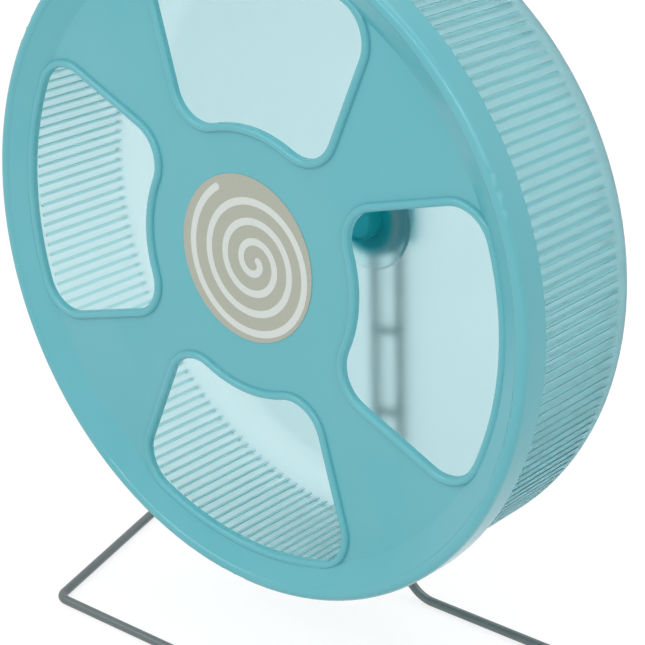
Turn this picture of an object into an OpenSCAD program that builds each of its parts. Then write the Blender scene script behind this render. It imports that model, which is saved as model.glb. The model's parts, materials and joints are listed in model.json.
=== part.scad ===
// Exercise wheel for rodents: a ribbed drum behind a cover with four windows, turning on a
// ball bearing that is carried by a bent wire stand.
//
// The wheel's parts are drawn around the axle: X to the right, Z up, and Y back from the crest
// of the cover's rim. on_stand() then lifts them so that the stand's wires rest on Z = 0 and
// the whole object is centred on the origin.

/* [Wheel] */
// Outer diameter of the cover's rim
wheel_d = 280; // [240:5:320]
// Depth from the rim's crest to the back of the drum's rear wall
wheel_depth = 78.6; // [60:0.2:95]
// Thickness of the drum's walls
wall_t = 2.2; // [1.8:0.1:3]
// How much the drum's radius shrinks along its side wall
side_taper = 1.4; // [0.5:0.1:3]
// Outside radius of the corner between side wall and rear wall
rear_corner_r = 14; // [6:0.2:18]

/* [Running surface] */
// Number of grooves round the drum, each with a ridge behind it
rib_count = 190; // [150:2:210]
// Width of a groove in the outside of the drum
groove_w = 1.8; // [1.2:0.1:2.4]
// Depth of a groove
groove_depth = 0.7; // [0.4:0.1:1]
// Width of a ridge on the inside of the drum
ridge_w = 1.1; // [0.8:0.1:1.6]
// Height of a ridge
ridge_h = 0.6; // [0.4:0.1:1]
// Smooth stretch between the cover's skirt and the grooves
groove_margin = 4.6; // [1:0.1:6]
// Length of the slope by which a groove runs out at its rear end
groove_fade = 2.5; // [1:0.1:4]

/* [Cover] */
// Radial width of the sloping rim
rim_w = 15.3; // [11:0.1:20]
// Depth of the flat face behind the rim's crest
rim_rise = 6.1; // [4:0.1:8]
// Radius of the rim's rounded crest
rim_round = 2.8; // [2:0.1:3.5]
// Thickness of the flat face
face_t = 1.6; // [1.4:0.1:3]
// Length of the skirt that reaches back over the drum
skirt_len = 12.6; // [10:0.1:18]
// Thickness of the skirt
skirt_t = 2.6; // [2.2:0.1:3.2]
// Clearance between the skirt and the drum's front bead
cover_fit = 0.2; // [0.1:0.05:0.4]
// Height of the drum's front bead, which the skirt catches behind
catch_h = 0.6; // [0.5:0.1:0.9]
// Length of the skirt's catch
catch_w = 2.4; // [1.6:0.1:3]

/* [Windows] */
// Number of windows in the cover
window_count = 4; // [3:1:4]
// Radius of the closed disc in the middle of the cover
centre_disc_r = 56.2; // [50:0.2:62]
// Angle between a window's side and its centre line, in degrees
window_side_deg = 20; // [16:0.1:21]
// Distance of a window's side line from the wheel's centre
window_side_off = 16.9; // [15:0.1:19]
// Radius of a window's corners
window_corner_r = 15; // [10:0.5:17]
// Radius of the rolled lip round each window
lip_r = 1.7; // [1.2:0.1:2]
// How far the lip overhangs the window's edge
lip_overhang = 0.15; // [0.1:0.05:0.4]
// How far the middle of the lip lies in front of the flat face
lip_forward = 0.2; // [0.1:0.05:0.5]
// How far the wheel stands turned at rest, in degrees anticlockwise seen from the front
rest_turn = -4.2; // [-45:0.1:45]

/* [Label] */
// Diameter of the round label
label_d = 69; // [50:1:90]
// Thickness of the label
label_t = 0.3; // [0.2:0.05:0.5]
// How far the label sits to the right of the axle
label_x = -0.8; // [-3:0.1:3]
// How far the label sits above the axle
label_z = 1.6; // [-3:0.1:3]

/* [Hub] */
// Bore of the ball bearing
bearing_bore = 8; // [8:1:8]
// Outer diameter of the ball bearing
bearing_d = 22; // [22:1:22]
// Width of the ball bearing
bearing_w = 7; // [7:1:7]
// Number of balls in the bearing
ball_count = 7; // [7:1:7]
// Wall of the tube that holds the bearing
boss_wall = 3.2; // [2.4:0.1:4]
// Thickness of the lip in front of the bearing
seat_lip = 1.8; // [1.5:0.1:4]
// Diameter of the raised pad round the hub, inside the drum
pad_d = 45; // [38:1:60]
// Height of the raised pad
pad_h = 1; // [0.5:0.1:2]
// Outer diameter of the collar that hides the bolt's head
collar_d = 18.8; // [18.6:0.2:22]
// Wall of the collar
collar_wall = 1.1; // [0.8:0.1:1.4]
// Thickness of the plug that closes the collar
plug_t = 1; // [0.8:0.1:1.6]
// How far the plug lies inside the collar
plug_recess = 0.8; // [0.2:0.1:1.2]

/* [Axle] */
// Width across the flats of the bolt's head and nut
hex_w = 13; // [12.5:0.1:13.5]
// Thickness of the bolt's head
head_t = 5.3; // [4.8:0.1:5.5]
// Thickness of the nut
nut_t = 6.8; // [5:0.1:8]
// Thickness of the spacer in front of the bearing
spacer_t = 1; // [0.8:0.1:1.5]
// Diameter of the hub plate on the stand
hub_plate_d = 37; // [34:1:46]
// Thickness of the hub plate
hub_plate_t = 2.3; // [2:0.1:5]
// Length of the hub plate's nose, which meets the bearing
nose_len = 1; // [0.8:0.1:3]
// Height of the block that clamps the posts
clamp_h = 26; // [20:1:40]
// Thickness of the rear clamp behind the posts
clamp_back_t = 2.4; // [2:0.1:5]

/* [Stand] */
// Height of the axle above the ground
axle_h = 181; // [178:1:230]
// Diameter of the stand's wire
wire_d = 4; // [3.5:0.1:5]
// Distance between the two posts, centre to centre
post_spacing = 13.7; // [13.4:0.1:18]
// Bend radius where the posts turn along the ground
foot_bend_r = 16; // [10:1:24]
// Bend radius at the corners of the base
corner_bend_r = 6.5; // [6:0.5:14]
// Width of the base across the front wire
front_base_w = 215; // [180:1:240]
// Width of the base across the rear wires
rear_base_w = 280; // [250:1:310]
// How far the front wire lies in front of the rim's crest
front_reach = 11.5; // [5:0.5:40]
// Diameter of the rungs between the posts
rung_d = 3; // [2.5:0.1:3.5]
// Drop from the axle to the upper rung
upper_rung_drop = 55.7; // [40:0.1:70]
// Drop from the upper rung to the lower rung
rung_pitch = 38; // [25:0.1:45]

/* [Hidden] */
$fn = 96;
cover_colour = [0.42, 0.71, 0.74];
drum_colour = [0.72, 0.87, 0.88];
hub_colour = [0.10, 0.50, 0.55];
label_colour = [0.67, 0.68, 0.61];
wire_colour = [0.48, 0.52, 0.52];
steel_colour = [0.72, 0.73, 0.75];
brass_colour = [0.78, 0.66, 0.36];

// Clearances
plug_gap = 0.3;
catch_gap = 0.3;
fit_gap = 0.05;
weld_gap = 0.02;
slip_fit = 0.1;
race_gap = 0.03;

// Stretches that run on into each other differ in width and overlap by these, so that they join
hair = 0.01;
bury = 0.3;

// How far a cutting shape runs past what it cuts
cut = 1;

// Cover and drum, as radii and as depths behind the rim's crest
wheel_r = wheel_d / 2;
face_r = wheel_r - rim_w;
face_back = rim_rise + face_t;
crest_r = wheel_r - rim_round;
skirt_inner_r = wheel_r - skirt_t;
bead_r = skirt_inner_r - cover_fit;
rim_floor_t = 0.4;
slope_inset = 1;
drum_front = rim_round + rim_floor_t;
catch_start = skirt_len - catch_w;
bead_end = catch_start - catch_gap;
drum_r = bead_r - catch_h;
catch_r = drum_r + catch_gap;
drum_front_inner_r = bead_r - wall_t;
side_end = wheel_depth - rear_corner_r;
rear_r = drum_r - side_taper;
draft_deg = atan(side_taper / (side_end - bead_end));
inner_corner_r = rear_corner_r - wall_t;
wall_front = wheel_depth - wall_t;
groove_start = skirt_len + groove_margin;
groove_mid_r = drum_r - ((groove_start + side_end) / 2 - bead_end) * tan(draft_deg);
groove_len = side_end - groove_start;

// Windows
window_margin = 0.2;
window_outer_r = face_r - window_margin;

// Hub, from the bearing's seat forward to the collar's rim
pad_front = wall_front - pad_h;
seat_y = pad_front + seat_lip;
head_back = seat_y - spacer_t;
head_front = head_back - head_t;
plug_front = head_front - plug_gap - plug_t;
collar_front = plug_front - plug_recess;
collar_r = collar_d / 2;
collar_inner_r = collar_r - collar_wall;
plug_r = collar_inner_r - fit_gap;

// Bearing and axle
bearing_r = bearing_d / 2;
bearing_bore_r = bearing_bore / 2;
bearing_mid = seat_y + bearing_w / 2;
bearing_end = seat_y + bearing_w;
boss_r = bearing_r + boss_wall;
ball_r = 1.98;
land_depth = 0.23;
pitch_r = (bearing_r + bearing_bore_r) / 2;
outer_land_r = pitch_r + ball_r - land_depth;
inner_land_r = pitch_r - ball_r + land_depth;
cage_half_t = 0.6;
cage_half_w = 2.5;
shield_t = 0.35;
shield_gap = 0.25;
shield_inner_r = inner_land_r + shield_gap;
spacer_r = inner_land_r - slip_fit;
nose_end = bearing_end + nose_len;
plate_end = nose_end + hub_plate_t;
wire_r = wire_d / 2;
saddle_t = 0.8;
post_y = plate_end + saddle_t + wire_r;
split_gap = 0.4;
clamp_ear = 4;
clamp_w = post_spacing + wire_d + 2 * clamp_ear;
clamp_end = post_y + wire_r + clamp_back_t;
nut_end = clamp_end + nut_t;
bolt_tip = 2;
bolt_end = nut_end + bolt_tip;

// Stand
post_x = post_spacing / 2;
loop_z = clamp_h / 2;
ground_z = wire_r - axle_h;
foot_top_z = ground_z + foot_bend_r;
front_y = -front_reach;
base_depth = post_y - front_y;
side_lean = atan((rear_base_w - front_base_w) / 2 / base_depth);
rear_turn = 90 + side_lean;
front_turn = 90 - side_lean;
rear_tangent = corner_bend_r * tan(rear_turn / 2);
front_tangent = corner_bend_r * tan(front_turn / 2);
side_len = base_depth / cos(side_lean) - rear_tangent - front_tangent;
front_bar_half = front_base_w / 2 - front_tangent;
middle_y = (front_y - wire_r + bolt_end) / 2;

BALLS = [for (i = [1:ball_count]) str("bearing_ball_", i)];

// Placing and shaping helpers

module on_stand() {
    translate([0, -middle_y, axle_h]) children();
}

// Turns a profile of radius and depth about the axle
module turned() {
    rotate([-90, 0, 0]) rotate_extrude() children();
}

// Raises a front view between two depths
module plate(front, back) {
    translate([0, back, 0]) rotate([90, 0, 0]) linear_extrude(back - front) children();
}

// A round bar between two depths, on the axle's line
module axle_bar(r, front, back) {
    translate([0, front, 0]) rotate([-90, 0, 0]) cylinder(r = r, h = back - front);
}

// Cover

module cover_profile() {
    difference() {
        union() {
            polygon([
                [0, rim_rise], [face_r, rim_rise], [crest_r, 0], [crest_r, rim_round],
                [wheel_r, rim_round], [wheel_r, skirt_len], [skirt_inner_r, skirt_len],
                [skirt_inner_r, drum_front], [face_r + slope_inset, face_back], [0, face_back]
            ]);
            translate([crest_r, rim_round]) circle(rim_round);
            translate([catch_r, catch_start]) square([skirt_inner_r - catch_r + cut, catch_w]);
        }
        translate([bead_r - wall_t - cut, drum_front]) {
            square([wall_t + cut + cover_fit, bead_end - drum_front]);
        }
    }
}

// Centre of a window's corner, at a given reach from the axle and inset from the side line
function corner_centre(reach, inset) =
    let (off = window_side_off - inset)
    let (along = sqrt(reach * reach - off * off))
    [along * cos(window_side_deg) - off * sin(window_side_deg),
     along * sin(window_side_deg) + off * cos(window_side_deg)];

inner_corner = corner_centre(centre_disc_r + window_corner_r, window_corner_r);
outer_corner = corner_centre(window_outer_r - window_corner_r, window_corner_r);
inner_corner_deg = atan2(inner_corner.y, inner_corner.x);
outer_corner_deg = atan2(outer_corner.y, outer_corner.x);
side_normal = [-sin(window_side_deg), cos(window_side_deg)];

function on_circle(r, deg) = r * [cos(deg), sin(deg)];
function flipped(p) = [p.x, -p.y];

module window_outline() {
    half = [
        on_circle(centre_disc_r, inner_corner_deg),
        inner_corner + (window_corner_r - hair) * side_normal,
        outer_corner + (window_corner_r - hair) * side_normal,
        on_circle(window_outer_r - hair, outer_corner_deg)
    ];
    difference() {
        union() {
            polygon(concat(half, [for (i = [3:-1:0]) flipped(half[i])]));
            for (c = [inner_corner, outer_corner, flipped(inner_corner), flipped(outer_corner)]) {
                translate(c) circle(window_corner_r);
            }
            intersection() {
                circle(window_outer_r - hair);
                polygon([
                    [0, 0],
                    on_circle(wheel_r * 2, outer_corner_deg),
                    on_circle(wheel_r * 2, -outer_corner_deg)
                ]);
            }
        }
        circle(centre_disc_r + hair);
    }
}

// A stretch of rolled lip along an arc, in the plane of its middle line
module lip_arc(centre, r, from_deg, to_deg, wire = lip_r) {
    translate(centre) rotate(from_deg) rotate_extrude(angle = to_deg - from_deg) {
        translate([r, 0]) circle(wire, $fn = 32);
    }
}

// The lip's long stretches are a hair thinner than its corners and end inside them
module window_lip() {
    grow = lip_r - lip_overhang;
    corner_r = window_corner_r + grow;
    inner_r = centre_disc_r - grow;
    outer_r = window_outer_r + grow;
    inner_deg = inner_corner_deg + atan(bury / inner_r);
    outer_deg = outer_corner_deg + atan(bury / outer_r);
    side_len = norm(outer_corner - inner_corner);
    translate([0, rim_rise - lip_forward, 0]) rotate([90, 0, 0]) {
        lip_arc([0, 0], inner_r, -inner_deg, inner_deg, lip_r - hair);
        lip_arc([0, 0], outer_r, -outer_deg, outer_deg, lip_r - hair);
        for (side = [0, 1]) mirror([0, side, 0]) {
            lip_arc(inner_corner, corner_r, 90 + window_side_deg, 180 + inner_corner_deg);
            lip_arc(outer_corner, corner_r, outer_corner_deg, 90 + window_side_deg);
            translate(inner_corner + corner_r * side_normal) rotate([0, 90, window_side_deg]) {
                translate([0, 0, -bury]) cylinder(r = lip_r - hair, h = side_len + 2 * bury, $fn = 32);
            }
        }
    }
}

module at_windows() {
    for (i = [0:window_count - 1]) {
        rotate([0, -rest_turn - i * 360 / window_count, 0]) children();
    }
}

module front_cover() {
    color(cover_colour) on_stand() {
        difference() {
            turned() cover_profile();
            at_windows() plate(-cut, face_back + cut) window_outline();
        }
        at_windows() window_lip();
    }
}

module round_label() {
    color(label_colour) on_stand() translate([label_x, 0, label_z]) {
        axle_bar(label_d / 2, rim_rise - label_t, rim_rise);
    }
}

// Drum

module drum_profile() {
    difference() {
        union() {
            polygon([
                [collar_inner_r, collar_front], [collar_r, collar_front], [collar_r, pad_front],
                [pad_d / 2, pad_front], [pad_d / 2 + pad_h, wall_front],
                [rear_r - rear_corner_r, wall_front], [rear_r - rear_corner_r, wheel_depth],
                [boss_r, wheel_depth], [boss_r, bearing_end], [collar_inner_r, bearing_end]
            ]);
            polygon([
                [drum_front_inner_r, drum_front], [bead_r, drum_front], [bead_r, bead_end],
                [drum_r, bead_end], [rear_r, side_end], [rear_r - wall_t, side_end],
                [drum_r - wall_t, bead_end]
            ]);
            difference() {
                intersection() {
                    translate([rear_r - rear_corner_r, side_end]) circle(rear_corner_r);
                    translate([rear_r - rear_corner_r, side_end]) square(rear_corner_r);
                }
                translate([rear_r - rear_corner_r, side_end]) circle(inner_corner_r);
            }
        }
        translate([collar_inner_r - cut, seat_y]) square([bearing_r - collar_inner_r + cut, bearing_w + cut]);
    }
}

// Lays its children along the drum's side wall: X outwards from its surface, Y back along it
module on_side_wall() {
    translate([groove_mid_r, (groove_start + side_end) / 2, 0]) rotate([0, 0, draft_deg]) children();
}

// Cuts one groove, with a round front end and a floor that rises to the surface at the rear
module groove_cut() {
    round_end = groove_w / 2 - groove_len / 2;
    flat_w = groove_w - 2 * hair;
    on_side_wall() {
        translate([0, 0, -flat_w / 2]) linear_extrude(flat_w) polygon([
            [-groove_depth, round_end], [cut, round_end], [cut, groove_len / 2],
            [0, groove_len / 2], [-groove_depth, groove_len / 2 - groove_fade]
        ]);
        translate([-groove_depth, round_end, 0]) rotate([0, 90, 0]) {
            cylinder(d = groove_w, h = groove_depth + cut, $fn = 24);
        }
    }
}

module ridge() {
    on_side_wall() translate([-wall_t - ridge_h, -groove_len / 2, -ridge_w / 2]) {
        cube([ridge_h + wall_t / 2, groove_len, ridge_w]);
    }
}

module round_the_drum() {
    for (i = [0:rib_count - 1]) {
        rotate([0, i * 360 / rib_count, 0]) children();
    }
}

module drum() {
    color(drum_colour) on_stand() {
        difference() {
            turned() drum_profile();
            round_the_drum() groove_cut();
        }
        round_the_drum() ridge();
    }
}

// Hub and bearing

module hub_plug() {
    color(hub_colour) on_stand() axle_bar(plug_r, plug_front, plug_front + plug_t);
}

module ball_track() {
    translate([pitch_r, bearing_mid]) circle(ball_r + race_gap, $fn = 48);
}

module bearing_outer_ring() {
    color(steel_colour) on_stand() turned() difference() {
        translate([outer_land_r, seat_y]) square([bearing_r - outer_land_r, bearing_w]);
        ball_track();
    }
}

module bearing_inner_ring() {
    color(steel_colour) on_stand() turned() difference() {
        translate([bearing_bore_r, seat_y]) square([inner_land_r - bearing_bore_r, bearing_w]);
        ball_track();
    }
}

module bearing_shield(front) {
    color(steel_colour) on_stand() turned() {
        translate([shield_inner_r, front]) square([outer_land_r - shield_inner_r, shield_t]);
    }
}

module bearing_cage() {
    color(brass_colour) on_stand() difference() {
        turned() translate([pitch_r - cage_half_t, bearing_mid - cage_half_w]) {
            square([2 * cage_half_t, 2 * cage_half_w]);
        }
        for (i = [1:ball_count]) {
            at_ball(i) translate([-bearing_w / 2, 0, 0]) rotate([0, 90, 0]) {
                cylinder(r = ball_r + 2 * race_gap, h = bearing_w);
            }
        }
    }
}

module at_ball(i) {
    rotate([0, i * 360 / ball_count, 0]) translate([pitch_r, bearing_mid, 0]) children();
}

module bearing_ball(i) {
    color(steel_colour) on_stand() at_ball(i) sphere(ball_r);
}

// Axle

module hexagon() {
    rotate(30) circle(d = hex_w / cos(30), $fn = 6);
}

module axle_bolt() {
    color(steel_colour) on_stand() {
        plate(head_front, head_back) hexagon();
        axle_bar(bearing_bore_r - fit_gap, head_back, bolt_end);
    }
}

module axle_spacer() {
    color(steel_colour) on_stand() difference() {
        axle_bar(spacer_r, head_back, seat_y);
        axle_bar(bearing_bore_r + fit_gap, head_back - cut, seat_y + cut);
    }
}

module axle_nut() {
    color(steel_colour) on_stand() difference() {
        plate(clamp_end, nut_end) hexagon();
        axle_bar(bearing_bore_r, clamp_end - cut, nut_end + cut);
    }
}

// The two posts as solid bars, a little thicker than the wire, for cutting their seats
module post_seats(extra) {
    for (x = [-post_x, post_x]) {
        translate([x, post_y, -axle_h]) cylinder(r = wire_r + extra, h = 2 * axle_h);
    }
}

module clamp_block() {
    square([clamp_w, clamp_h], center = true);
}

module hub_plate() {
    color(hub_colour) on_stand() difference() {
        union() {
            axle_bar(spacer_r, bearing_end, nose_end + cut);
            axle_bar(hub_plate_d / 2, nose_end, plate_end);
            plate(plate_end - cut, post_y - split_gap / 2) clamp_block();
        }
        axle_bar(bearing_bore_r + slip_fit, bearing_end - cut, clamp_end);
        post_seats(weld_gap);
    }
}

module rear_clamp() {
    color(hub_colour) on_stand() difference() {
        plate(post_y + split_gap / 2, clamp_end) clamp_block();
        axle_bar(bearing_bore_r + slip_fit, plate_end, clamp_end + cut);
        post_seats(weld_gap);
    }
}

// Stand

module post(x) {
    color(wire_colour) on_stand() translate([x, post_y, foot_top_z]) {
        translate([0, 0, weld_gap]) cylinder(r = wire_r, h = loop_z - foot_top_z - 2 * weld_gap);
    }
}

module post_top() {
    color(wire_colour) on_stand() translate([0, post_y, loop_z]) {
        rotate([90, 0, 0]) rotate_extrude(angle = 180) translate([post_x, 0]) circle(wire_r);
    }
}

module rung(drop) {
    color(wire_colour) on_stand() difference() {
        translate([-post_x, post_y, -drop]) rotate([0, 90, 0]) cylinder(r = rung_d / 2, h = post_spacing);
        post_seats(weld_gap);
    }
}

// A bend in the base, lying on the ground, that starts at the origin along +X and turns left
module ground_bend(turn) {
    translate([0, corner_bend_r, 0]) rotate(-90) rotate_extrude(angle = turn) {
        translate([corner_bend_r, 0]) circle(wire_r);
    }
}

// A straight stretch along +X that ends inside its neighbours' bends
module ground_run(length) {
    translate([-bury, 0, 0]) rotate([0, 90, 0]) cylinder(r = wire_r - hair, h = length + 2 * bury);
}

// The bent wire from the right post to the front bar, drawn along the ground
module base_wire() {
    rear_end_x = rear_base_w / 2 - rear_tangent;
    foot_end_x = post_x + foot_bend_r;
    rear_corner_x = rear_base_w / 2;
    front_corner_x = front_base_w / 2;
    translate([foot_end_x, post_y, foot_top_z]) rotate([90, 0, 0]) rotate(180) {
        rotate_extrude(angle = 90) translate([foot_bend_r, 0]) circle(wire_r);
    }
    translate([foot_end_x, post_y, ground_z]) ground_run(rear_end_x - foot_end_x);
    mirror([0, 1, 0]) {
        translate([rear_end_x, -post_y, ground_z]) ground_bend(rear_turn);
        translate([rear_corner_x, -post_y, ground_z]) rotate(rear_turn) {
            translate([rear_tangent, 0, 0]) {
                ground_run(side_len);
                translate([side_len, 0, 0]) ground_bend(front_turn);
            }
        }
    }
}

module base_half(side) {
    color(wire_colour) on_stand() mirror([side, 0, 0]) base_wire();
}

module front_bar() {
    length = 2 * (front_bar_half - weld_gap);
    color(wire_colour) on_stand() translate([-length / 2, front_y, ground_z]) {
        rotate([0, 90, 0]) cylinder(r = wire_r, h = length);
    }
}

drum();
front_cover();
round_label();
hub_plug();
bearing_outer_ring();
bearing_shield(seat_y);  // bearing_front_shield
bearing_shield(bearing_end - shield_t);  // bearing_rear_shield
bearing_cage();
bearing_inner_ring();
axle_bolt();
axle_spacer();
hub_plate();
rear_clamp();
axle_nut();
post(-post_x);  // post_left
post(post_x);  // post_right
post_top();
rung(upper_rung_drop);  // upper_rung
rung(upper_rung_drop + rung_pitch);  // lower_rung
base_half(1);  // base_left
base_half(0);  // base_right
front_bar();
for (i = [1:ball_count]) {
    bearing_ball(i);
}
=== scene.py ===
import json
import math
import bmesh
import bpy
from mathutils import Matrix, Vector


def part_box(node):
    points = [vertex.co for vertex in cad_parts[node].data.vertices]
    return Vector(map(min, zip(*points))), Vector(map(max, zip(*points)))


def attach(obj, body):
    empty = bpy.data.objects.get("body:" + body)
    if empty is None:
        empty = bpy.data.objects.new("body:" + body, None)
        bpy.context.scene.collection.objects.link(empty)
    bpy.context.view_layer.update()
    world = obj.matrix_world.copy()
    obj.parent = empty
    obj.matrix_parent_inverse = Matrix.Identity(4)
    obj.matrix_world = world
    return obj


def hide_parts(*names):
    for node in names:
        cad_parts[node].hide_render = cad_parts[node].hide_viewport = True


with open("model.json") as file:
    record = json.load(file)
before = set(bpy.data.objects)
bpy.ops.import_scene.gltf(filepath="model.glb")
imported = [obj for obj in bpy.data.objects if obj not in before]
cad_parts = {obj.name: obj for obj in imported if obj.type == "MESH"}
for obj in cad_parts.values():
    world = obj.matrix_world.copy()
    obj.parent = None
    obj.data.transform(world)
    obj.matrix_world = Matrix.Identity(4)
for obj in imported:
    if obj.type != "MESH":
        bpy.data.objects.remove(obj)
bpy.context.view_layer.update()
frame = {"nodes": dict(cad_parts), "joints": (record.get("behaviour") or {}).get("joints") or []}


# Stand wire
# One length of 4 mm steel wire, bent into two posts, two feet and a flat base frame, and finished
# with a thin satin coat. The coat is slightly uneven and has a faint fine grain.

MM = 0.001


def coat(name, colour, **sockets):
    """A new material whose shader has this colour and these sockets set."""
    material = bpy.data.materials.new(name)
    material.use_nodes = True
    shader = material.node_tree.nodes["Principled BSDF"]
    shader.inputs["Base Color"].default_value = (*colour, 1)
    for socket, value in sockets.items():
        shader.inputs[socket.replace("_", " ")].default_value = value
    return material


def spots(tree, size, detail=3, stretch=(1, 1, 1)):
    """Noise in real sizes: its spots are about size metres across, divided by stretch."""
    place = tree.nodes.new("ShaderNodeTexCoord")
    scale = tree.nodes.new("ShaderNodeMapping")
    scale.inputs["Scale"].default_value = stretch
    noise = tree.nodes.new("ShaderNodeTexNoise")
    noise.inputs["Scale"].default_value = 1 / size
    noise.inputs["Detail"].default_value = detail
    tree.links.new(place.outputs["Object"], scale.inputs["Vector"])
    tree.links.new(scale.outputs["Vector"], noise.inputs["Vector"])
    return noise.outputs["Fac"]


def vary_colour(material, size, low, high, detail=3):
    """Lets the base colour drift between two colours over spots of that size."""
    tree = material.node_tree
    mix = tree.nodes.new("ShaderNodeMix")
    mix.data_type = "RGBA"
    mix.inputs["A"].default_value = (*low, 1)
    mix.inputs["B"].default_value = (*high, 1)
    tree.links.new(spots(tree, size, detail), mix.inputs["Factor"])
    tree.links.new(mix.outputs["Result"], tree.nodes["Principled BSDF"].inputs["Base Color"])


def vary_roughness(material, size, low, high, detail=2, stretch=(1, 1, 1)):
    """Lets the roughness drift between two values over spots of that size.

    Both values lie on the same side of 0.27, since a range across it renders with dark specks.
    """
    tree = material.node_tree
    mix = tree.nodes.new("ShaderNodeMix")
    mix.data_type = "FLOAT"
    mix.inputs["A"].default_value = low
    mix.inputs["B"].default_value = high
    tree.links.new(spots(tree, size, detail, stretch), mix.inputs["Factor"])
    tree.links.new(mix.outputs["Result"], tree.nodes["Principled BSDF"].inputs["Roughness"])


def add_grain(material, size, depth, detail=2, stretch=(1, 1, 1)):
    """Raises a fine grain of that size and depth, in metres."""
    tree = material.node_tree
    bump = tree.nodes.new("ShaderNodeBump")
    bump.inputs["Strength"].default_value = 1
    bump.inputs["Distance"].default_value = depth
    tree.links.new(spots(tree, size, detail, stretch), bump.inputs["Height"])
    tree.links.new(bump.outputs["Normal"], tree.nodes["Principled BSDF"].inputs["Normal"])


def dress(node, material):
    """Gives a CAD node its finish."""
    slots = frame["nodes"][node].data.materials
    slots.clear()
    slots.append(material)


wire_coat = coat("satin wire coat", (0.15, 0.18, 0.182), Metallic=0.7, Roughness=0.34)
vary_colour(wire_coat, 9 * MM, (0.135, 0.16, 0.162), (0.165, 0.2, 0.202))
vary_roughness(wire_coat, 4 * MM, 0.3, 0.38)
add_grain(wire_coat, 0.8 * MM, 0.004 * MM)
for node in ("post_left", "post_right", "post_top", "base_left", "base_right", "front_bar",
             "upper_rung", "lower_rung"):
    dress(node, wire_coat)


# Rung welds
# Each rung is spot welded into the side of both posts, and a small bead of melted steel stands
# round its end under the same coat.

def new_piece(name, material, body):
    """An empty mesh object that rides on a body, and the bmesh that its shape is drawn in."""
    mesh = bpy.data.meshes.new(name)
    mesh.materials.append(material)
    piece = bpy.data.objects.new(name, mesh)
    bpy.context.scene.collection.objects.link(piece)
    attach(piece, body)
    return piece, bmesh.new()


def close_piece(piece, shape, sharp_deg=40):
    """Writes the drawn shape into the piece, smooth but for its sharp edges."""
    bmesh.ops.remove_doubles(shape, verts=shape.verts, dist=0.0005 * MM)
    bmesh.ops.recalc_face_normals(shape, faces=shape.faces)
    for face in shape.faces:
        face.smooth = True
    shape.to_mesh(piece.data)
    shape.free()
    piece.data.set_sharp_from_angle(angle=math.radians(sharp_deg))


def ring_of(shape, count, point):
    """A closed ring of vertices at point(turn), where turn goes once round."""
    return [shape.verts.new(point(math.tau * k / count)) for k in range(count)]


def skin(shape, rings, close_first=False, close_last=False):
    """Faces between rings that follow each other, and over the first and last if asked."""
    for near, far in zip(rings, rings[1:]):
        for k in range(len(near)):
            shape.faces.new((near[k - 1], near[k], far[k], far[k - 1]))
    if close_first:
        shape.faces.new(rings[0])
    if close_last:
        shape.faces.new(reversed(rings[-1]))


weld_reach = 0.9 * MM
weld_half_w = 1.85 * MM
weld_steps = 7
weld_sides = 32
post_low, post_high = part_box("post_right")
post_x = (post_low.x + post_high.x) / 2
post_r = (post_high.x - post_low.x) / 2
for rung in ("upper_rung", "lower_rung"):
    low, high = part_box(rung)
    middle = (low + high) / 2
    rung_r = (high.z - low.z) / 2
    for name, side in (("left", -1), ("right", 1)):
        bead, shape = new_piece(f"{rung}_weld_{name}", wire_coat, "stand")
        rings = []
        for k in range(weld_steps):
            curl = math.pi / 2 * k / (weld_steps - 1)
            tall = rung_r + weld_reach * (1 - math.sin(curl))
            along = weld_reach * (1 - math.cos(curl))

            def on_bead(turn):
                up, across = tall * math.sin(turn), min(tall, weld_half_w) * math.cos(turn)
                wall = math.sqrt(post_r ** 2 - across ** 2)
                return side * (post_x - wall - along), middle.y + across, middle.z + up

            rings.append(ring_of(shape, weld_sides, on_bead))
        skin(shape, rings)
        close_piece(bead, shape)


# Hub plate and rear clamp
# Two dark teal mouldings that grip the posts between them: the plate carries the axle's bolt and a
# nose for the bearing, the clamp lies behind the posts and is pulled tight by the nut.

hub_plastic = coat("dark teal plastic", (0.005, 0.56, 0.62), Roughness=0.38)
vary_colour(hub_plastic, 6 * MM, (0.004, 0.54, 0.59), (0.006, 0.58, 0.65))
vary_roughness(hub_plastic, 3 * MM, 0.32, 0.44)
add_grain(hub_plastic, 0.35 * MM, 0.01 * MM)
for node in ("hub_plate", "rear_clamp"):
    dress(node, hub_plastic)


# Bearing
# A shielded ball bearing of ground steel with a brass cage, pressed into the drum's boss. It can
# only be glimpsed in the slit between the boss and the hub plate.

ground_steel = coat("ground steel", (0.5, 0.51, 0.53), Metallic=1, Roughness=0.32)
vary_roughness(ground_steel, 2 * MM, 0.29, 0.36)
add_grain(ground_steel, 0.4 * MM, 0.003 * MM, stretch=(1, 6, 1))
cage_brass = coat("cage brass", (0.56, 0.4, 0.13), Metallic=1, Roughness=0.35)
vary_roughness(cage_brass, 2 * MM, 0.3, 0.42)
add_grain(cage_brass, 0.4 * MM, 0.004 * MM)
for node in frame["nodes"]:
    if node.startswith("bearing_"):
        dress(node, cage_brass if node == "bearing_cage" else ground_steel)


# Axle bolt and spacer
# An 8 mm bolt of zinc-plated steel runs from inside the hub's collar to behind the clamp, with a
# spacer between its head and the bearing. The head's corners are turned down, and the end that comes
# out of the nut is threaded.

zinc_plate = coat("zinc plate", (0.45, 0.46, 0.47), Metallic=1, Roughness=0.33)
vary_colour(zinc_plate, 3 * MM, (0.4, 0.41, 0.43), (0.52, 0.53, 0.53))
vary_roughness(zinc_plate, 2 * MM, 0.29, 0.4)
add_grain(zinc_plate, 0.3 * MM, 0.005 * MM)
dress("axle_spacer", zinc_plate)

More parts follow.
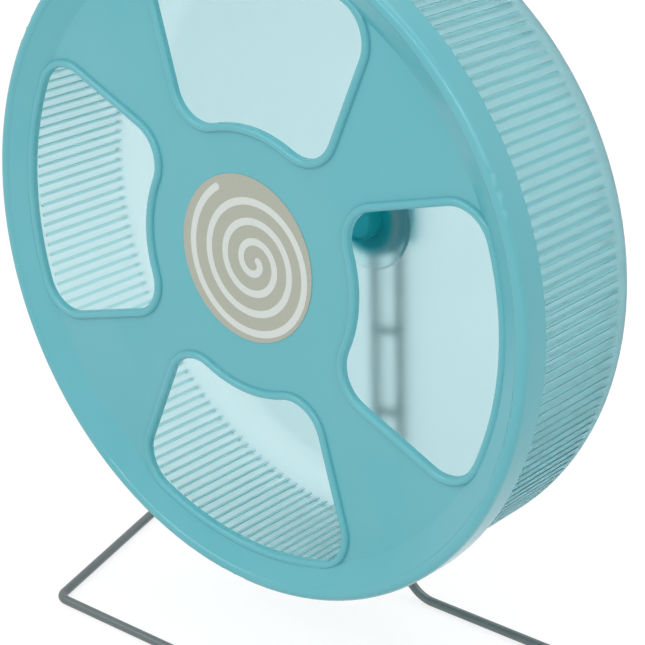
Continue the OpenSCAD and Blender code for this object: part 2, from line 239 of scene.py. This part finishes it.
axle = Vector(next(j["pos_m"] for j in frame["joints"] if j["name"] == "wheel_spin"))
bolt_low, bolt_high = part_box("axle_bolt")
nut_low, nut_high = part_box("axle_nut")
head_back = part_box("axle_spacer")[0].y
flats = nut_high.x - nut_low.x
hex_steps = 60
turned_inset = 0.3 * MM
turned_r = flats / 2 - turned_inset
turned_slope_deg = 30
turned_slope = math.tan(math.radians(turned_slope_deg))
bolt_r = 3.95 * MM
thread_pitch = 1.25 * MM
thread_depth = 0.62 * MM
thread_steps = 14
thread_in_nut = 1 * MM
tip_chamfer = 0.8 * MM


def about_axle(turn, reach, depth):
    """A point round the axle, at that reach and at a depth in the object's frame."""
    return axle.x + reach * math.cos(turn), depth, axle.z + reach * math.sin(turn)


def hex_reach(turn):
    """Distance from the axle to a hexagon's side, with flats to the left and right."""
    off = (turn + math.pi / 6) % (math.pi / 3) - math.pi / 6
    return flats / 2 / math.cos(off)


def round_ring(shape, depth, reach):
    """A circle round the axle at that depth."""
    return ring_of(shape, hex_steps, lambda turn: about_axle(turn, reach, depth))


def hex_ring(shape, depth, way):
    """The hexagon's edge where a cone, that starts at depth, has turned its corners down."""
    return ring_of(shape, hex_steps, lambda turn: about_axle(
        turn, hex_reach(turn), depth + way * (hex_reach(turn) - turned_r) * turned_slope))


bolt, shape = new_piece("threaded_bolt", zinc_plate, "stand")
thread_start = nut_high.y - thread_in_nut
rings = [
    round_ring(shape, bolt_low.y, turned_r),
    hex_ring(shape, bolt_low.y, 1),
    ring_of(shape, hex_steps, lambda turn: about_axle(turn, hex_reach(turn), head_back)),
    round_ring(shape, head_back, bolt_r),
    round_ring(shape, thread_start, bolt_r),
]
thread_rings = math.ceil((bolt_high.y - thread_start) / thread_pitch * thread_steps)
for step in range(1, thread_rings + 1):
    depth = min(thread_start + thread_pitch * step / thread_steps, bolt_high.y)
    limit = bolt_r - max(0, depth - bolt_high.y + tip_chamfer)

    def on_thread(turn):
        flank = abs(2 * ((depth / thread_pitch - turn / math.tau) % 1) - 1)
        return about_axle(turn, min(bolt_r - thread_depth * (1 - flank), limit), depth)

    rings.append(ring_of(shape, hex_steps, on_thread))
skin(shape, rings, close_first=True, close_last=True)
close_piece(bolt, shape, sharp_deg=25)
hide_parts("axle_bolt")


# Nut
# A hexagon nut of the same zinc-plated steel, with its corners turned down on both sides, screwed
# onto the bolt behind the clamp.

bore_r = 4 * MM
bore_chamfer = 0.4 * MM
nut, shape = new_piece("chamfered_nut", zinc_plate, "stand")
rings = [
    round_ring(shape, nut_low.y + bore_chamfer, bore_r),
    round_ring(shape, nut_low.y, bore_r + bore_chamfer),
    round_ring(shape, nut_low.y, turned_r),
    hex_ring(shape, nut_low.y, 1),
    hex_ring(shape, nut_high.y, -1),
    round_ring(shape, nut_high.y, turned_r),
    round_ring(shape, nut_high.y, bore_r + bore_chamfer),
    round_ring(shape, nut_high.y - bore_chamfer, bore_r),
]
skin(shape, rings + rings[:1])
close_piece(nut, shape, sharp_deg=25)
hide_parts("axle_nut")


# Drum
# A frosted, translucent moulding whose running surface has grooves outside and ridges inside. Light
# passes through its walls, so the stand behind it shows as soft stripes. The grooves carry painted
# shade, a deeper teal. The thick boss is nearly opaque, and is painted a deep teal that stands in
# for the shaded hub plate seen through the wall.

groove_count = 190
groove_share = 0.16
groove_start_y = -27.8 * MM
groove_end_y = 18.4 * MM
side_wall_r = 129 * MM
boss_solid_r = 13 * MM
boss_clear_r = 20 * MM
wall_clearness = 0.93
boss_clearness = 0.35
# Painted shade: the deeper teal that the grooves are darkened with.
painted_groove_shade_colour = (0.66, 0.87, 0.88)
# Painted shade: the deep teal on the boss, standing in for the shaded hub plate seen through the
# wall.
painted_plate_shade_colour = (0.012, 0.47, 0.53)
wall_tint = (0.1, 0.707, 0.763)
wall_tint_density = 150

drum_plastic = coat("frosted drum plastic", (0.88, 0.96, 0.97), Roughness=0.46, IOR=1.3,
                    Transmission_Weight=wall_clearness)
vary_colour(drum_plastic, 25 * MM, (0.87, 0.955, 0.965), (0.89, 0.965, 0.975))
vary_roughness(drum_plastic, 8 * MM, 0.42, 0.5)
add_grain(drum_plastic, 0.6 * MM, 0.006 * MM)
drum_nodes, drum_links = drum_plastic.node_tree.nodes, drum_plastic.node_tree.links


def drum_math(operation, *values):
    """A Math node on these numbers or outputs."""
    node = drum_nodes.new("ShaderNodeMath")
    node.operation = operation
    for k, value in enumerate(values):
        if isinstance(value, bpy.types.NodeSocket):
            drum_links.new(value, node.inputs[k])
        else:
            node.inputs[k].default_value = value
    return node.outputs["Value"]


place = drum_nodes.new("ShaderNodeTexCoord")
from_axle = drum_nodes.new("ShaderNodeVectorMath")
from_axle.operation = "SUBTRACT"
from_axle.inputs[1].default_value = axle
drum_links.new(place.outputs["Object"], from_axle.inputs[0])
parts = drum_nodes.new("ShaderNodeSeparateXYZ")
drum_links.new(from_axle.outputs["Vector"], parts.inputs["Vector"])
steps_round = drum_math("MULTIPLY", drum_math("ARCTAN2", parts.outputs["Z"], parts.outputs["X"]),
                        groove_count / math.tau)
off_groove = drum_math("SUBTRACT", steps_round, drum_math("ROUND", steps_round))
reach = drum_math("SQRT", drum_math("ADD", drum_math("POWER", parts.outputs["X"], 2),
                                    drum_math("POWER", parts.outputs["Z"], 2)))
along_side = drum_math("COMPARE", parts.outputs["Y"], (groove_start_y + groove_end_y) / 2 - axle.y,
                       (groove_end_y - groove_start_y) / 2)
on_side = drum_math("MULTIPLY", drum_math("GREATER_THAN", reach, side_wall_r), along_side)
in_groove = drum_math("MULTIPLY", drum_math("COMPARE", off_groove, 0, groove_share), on_side)
# Painted shade: the grooves are multiplied down to a deeper teal.
painted_groove_shade = drum_nodes.new("ShaderNodeMix")
painted_groove_shade.data_type = "RGBA"
painted_groove_shade.blend_type = "MULTIPLY"
painted_groove_shade.inputs["B"].default_value = (*painted_groove_shade_colour, 1)
drum_shader = drum_nodes["Principled BSDF"]
drum_links.new(in_groove, painted_groove_shade.inputs["Factor"])
drum_links.new(drum_shader.inputs["Base Color"].links[0].from_socket, painted_groove_shade.inputs["A"])
in_boss = drum_nodes.new("ShaderNodeMapRange")
in_boss.interpolation_type = "SMOOTHSTEP"
in_boss.inputs["From Min"].default_value = boss_clear_r
in_boss.inputs["From Max"].default_value = boss_solid_r
drum_links.new(reach, in_boss.inputs["Value"])
# Painted shade: the boss turns to the deep teal of the shaded hub plate seen through it.
painted_plate_shade = drum_nodes.new("ShaderNodeMix")
painted_plate_shade.data_type = "RGBA"
painted_plate_shade.inputs["B"].default_value = (*painted_plate_shade_colour, 1)
drum_links.new(in_boss.outputs["Result"], painted_plate_shade.inputs["Factor"])
drum_links.new(painted_groove_shade.outputs["Result"], painted_plate_shade.inputs["A"])
drum_links.new(painted_plate_shade.outputs["Result"], drum_shader.inputs["Base Color"])
clearness = drum_math("ADD", wall_clearness, drum_math(
    "MULTIPLY", in_boss.outputs["Result"], boss_clearness - wall_clearness))
drum_links.new(clearness, drum_shader.inputs["Transmission Weight"])
depth_tint = drum_nodes.new("ShaderNodeVolumeAbsorption")
depth_tint.inputs["Color"].default_value = (*wall_tint, 1)
depth_tint.inputs["Density"].default_value = wall_tint_density
drum_links.new(depth_tint.outputs["Volume"], drum_nodes["Material Output"].inputs["Volume"])
dress("drum", drum_plastic)


# Hub plug
# A disc of a slightly deeper teal than the hub plate, pressed into the collar on the drum's rear
# wall, where it hides the bolt's head.

plug_plastic = coat("deep teal plastic", (0.004, 0.44, 0.5), Roughness=0.38)
vary_colour(plug_plastic, 6 * MM, (0.003, 0.42, 0.475), (0.005, 0.46, 0.525))
vary_roughness(plug_plastic, 3 * MM, 0.32, 0.44)
add_grain(plug_plastic, 0.35 * MM, 0.01 * MM)
dress("hub_plug", plug_plastic)


# Front cover
# One glossy teal moulding, snapped over the drum's front bead. A faint flow in the colour and a
# slight waviness of the gloss come from the mould.

cover_plastic = coat("glossy teal plastic", (0.122, 0.45, 0.503), Roughness=0.16, IOR=1.49)
vary_colour(cover_plastic, 60 * MM, (0.09, 0.43, 0.483), (0.155, 0.475, 0.528))
vary_roughness(cover_plastic, 12 * MM, 0.13, 0.2)
add_grain(cover_plastic, 5 * MM, 0.01 * MM, detail=0)
dress("front_cover", cover_plastic)


# Round label
# A beige printed sticker in the middle of the cover, with a plain pale spiral line whose ends are
# round and whose middle wanders a little, as on one drawn by hand.

label_film = coat("beige label", (0.42, 0.44, 0.36), Roughness=0.5)
vary_colour(label_film, 1.5 * MM, (0.405, 0.42, 0.345), (0.435, 0.455, 0.375))
vary_roughness(label_film, 6 * MM, 0.44, 0.56)
add_grain(label_film, 0.25 * MM, 0.006 * MM)
dress("round_label", label_film)

spiral_outer_r = 33 * MM
spiral_pitch = 8.3 * MM
spiral_turns = 3.74
spiral_start = math.radians(122)
spiral_middle = Vector((2, 0, 0.45)) * MM
spiral_wander = Vector((0.45, 0, 0.14)) * MM
line_w = 3 * MM
line_t = 0.06 * MM
steps_per_turn = 96
cap_steps = 10
small_turn = 0.002
label_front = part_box("round_label")[0].y


def spiral_point(turn):
    """A point of the line on the label's front, this many turns in from its outer end."""
    reach = spiral_outer_r - spiral_pitch * turn
    angle = spiral_start + math.tau * turn
    middle = axle + spiral_middle + spiral_wander * turn
    x = middle.x + reach * math.cos(angle)
    z = middle.z + reach * math.sin(angle)
    return Vector((x, label_front, z))


spiral_ink = coat("pale ink", (0.66, 0.7, 0.66), Roughness=0.45)
vary_colour(spiral_ink, 1.5 * MM, (0.64, 0.68, 0.64), (0.68, 0.72, 0.68))
vary_roughness(spiral_ink, 6 * MM, 0.4, 0.5)
add_grain(spiral_ink, 0.25 * MM, 0.006 * MM)
spiral_line, shape = new_piece("spiral_line", spiral_ink, "wheel")
raised = Vector((0, -line_t, 0))
count = round(spiral_turns * steps_per_turn)
columns = []
for step in range(count + 1):
    turn = spiral_turns * step / count
    here = spiral_point(turn)
    ahead = spiral_point(turn + small_turn) - spiral_point(turn - small_turn)
    along = ahead.normalized() * line_w / 2
    across = Vector((-along.z, 0, along.x))
    column = [shape.verts.new(here + offset)
              for offset in (across, across + raised, -across + raised, -across)]
    if columns:
        before = columns[-1]
        for k in range(3):
            shape.faces.new((before[k], before[k + 1], column[k + 1], column[k]))
    columns.append(column)
    if step in (0, count):
        way = 1 if step else -1
        arc = [math.pi * k / cap_steps for k in range(1, cap_steps)]
        rim = [here + across * math.cos(a) + along * way * math.sin(a) for a in arc]
        foot = [column[0], *[shape.verts.new(point) for point in rim], column[3]]
        edge = [column[1], *[shape.verts.new(point + raised) for point in rim], column[2]]
        shape.faces.new(edge)
        for k in range(cap_steps):
            shape.faces.new((foot[k], foot[k + 1], edge[k + 1], edge[k]))
close_piece(spiral_line, shape)


# Studio
# A pale floor that runs on into a white room, soft lamps from above and both sides, a long thin lamp
# that draws the bright line on the cover's rim, and a camera at the photograph's place.

def seen_rays(tree):
    """One where a camera, mirror or see-through ray looks, and nought for light."""
    rays = tree.nodes.new("ShaderNodeLightPath")
    seen = rays.outputs["Is Camera Ray"]
    for kind in ("Is Glossy Ray", "Is Transmission Ray"):
        either = tree.nodes.new("ShaderNodeMath")
        either.operation = "MAXIMUM"
        tree.links.new(seen, either.inputs[0])
        tree.links.new(rays.outputs[kind], either.inputs[1])
        seen = either.outputs["Value"]
    return seen


# To the eye the room is plain white, while the light that it sheds on the object is dimmer.
room_strength = 0.62
room = bpy.data.worlds.new("white room")
bpy.context.scene.world = room
room.use_nodes = True
room_nodes, room_links = room.node_tree.nodes, room.node_tree.links
room_light = room_nodes["Background"]
room_light.inputs["Color"].default_value = (0.97, 0.985, 1, 1)
room_light.inputs["Strength"].default_value = room_strength
room_seen = room_nodes.new("ShaderNodeBackground")
room_seen.inputs["Color"].default_value = (1, 1, 1, 1)
room_seen.inputs["Strength"].default_value = 1
choose = room_nodes.new("ShaderNodeMixShader")
room_links.new(seen_rays(room.node_tree), choose.inputs["Fac"])
room_links.new(room_light.outputs["Background"], choose.inputs[1])
room_links.new(room_seen.outputs["Background"], choose.inputs[2])
room_links.new(choose.outputs["Shader"], room_nodes["World Output"].inputs["Surface"])

# To the eye the floor is a dark grey that glows, so it looks white and its shadows stay faint. Light
# itself meets a plain pale floor.
floor_half = 6
floor_z = -0.2 * MM
floor_grey = 0.28
floor_glow_strength = 0.79
floor_corners = [(x, y, floor_z) for x, y in ((-floor_half, -floor_half), (floor_half, -floor_half),
                                              (floor_half, floor_half), (-floor_half, floor_half))]
floor_mesh = bpy.data.meshes.new("floor")
floor_mesh.from_pydata(floor_corners, [], [(0, 1, 2, 3)])
floor = bpy.data.objects.new("floor", floor_mesh)
bpy.context.scene.collection.objects.link(floor)
floor_paint = coat("pale floor", (0.8, 0.8, 0.8), Roughness=0.9, Specular_IOR_Level=0)
floor_nodes, floor_links = floor_paint.node_tree.nodes, floor_paint.node_tree.links
floor_lit = floor_nodes.new("ShaderNodeBsdfDiffuse")
floor_lit.inputs["Color"].default_value = (floor_grey, floor_grey, floor_grey, 1)
floor_glow = floor_nodes.new("ShaderNodeEmission")
floor_glow.inputs["Strength"].default_value = floor_glow_strength
floor_seen = floor_nodes.new("ShaderNodeAddShader")
floor_links.new(floor_lit.outputs["BSDF"], floor_seen.inputs[0])
floor_links.new(floor_glow.outputs["Emission"], floor_seen.inputs[1])
floor_choose = floor_nodes.new("ShaderNodeMixShader")
floor_links.new(seen_rays(floor_paint.node_tree), floor_choose.inputs["Fac"])
floor_links.new(floor_nodes["Principled BSDF"].outputs["BSDF"], floor_choose.inputs[1])
floor_links.new(floor_seen.outputs["Shader"], floor_choose.inputs[2])
floor_links.new(floor_choose.outputs["Shader"], floor_nodes["Material Output"].inputs["Surface"])
floor_mesh.materials.append(floor_paint)

for name, place, width, height, power in (
    ("key_light", (-1.1, -1.6, 1.9), 1.3, 1.3, 9),
    ("fill_light", (1.8, -1.2, 1.3), 1.5, 1.5, 8.5),
    ("top_light", (0.2, 0.4, 2.2), 1.6, 1.6, 10),
    ("strip_light", (0.4, -1.6, 1.5), 2.4, 0.12, 9),
):
    lamp = bpy.data.lights.new(name, "AREA")
    lamp.shape = "RECTANGLE"
    lamp.size = width
    lamp.size_y = height
    lamp.energy = power
    holder = bpy.data.objects.new(name, lamp)
    holder.location = place
    holder.rotation_euler = (axle - Vector(place)).to_track_quat("-Z", "Y").to_euler()
    bpy.context.scene.collection.objects.link(holder)

camera_data = bpy.data.cameras.new("camera")
camera_data.lens = 130.456
camera_data.sensor_width = 36
camera_data.clip_end = 50
camera = bpy.data.objects.new("camera", camera_data)
bpy.context.scene.collection.objects.link(camera)
swing = math.radians(42.447)
rise = math.radians(22.407)
lean = math.radians(-1.4)
back = Vector((math.sin(swing) * math.cos(rise), -math.cos(swing) * math.cos(rise), math.sin(rise)))
level = Vector((math.cos(swing), math.sin(swing), 0))
upright = back.cross(level)
right = math.cos(lean) * level + math.sin(lean) * upright
top = math.cos(lean) * upright - math.sin(lean) * level
camera_place = Vector((0.59702, -0.64953, 0.50699))
camera_turn = Matrix((right, top, back)).transposed().to_4x4()
camera.matrix_world = Matrix.Translation(camera_place) @ camera_turn
bpy.context.scene.camera = camera
bpy.context.scene.view_settings.view_transform = "Standard"
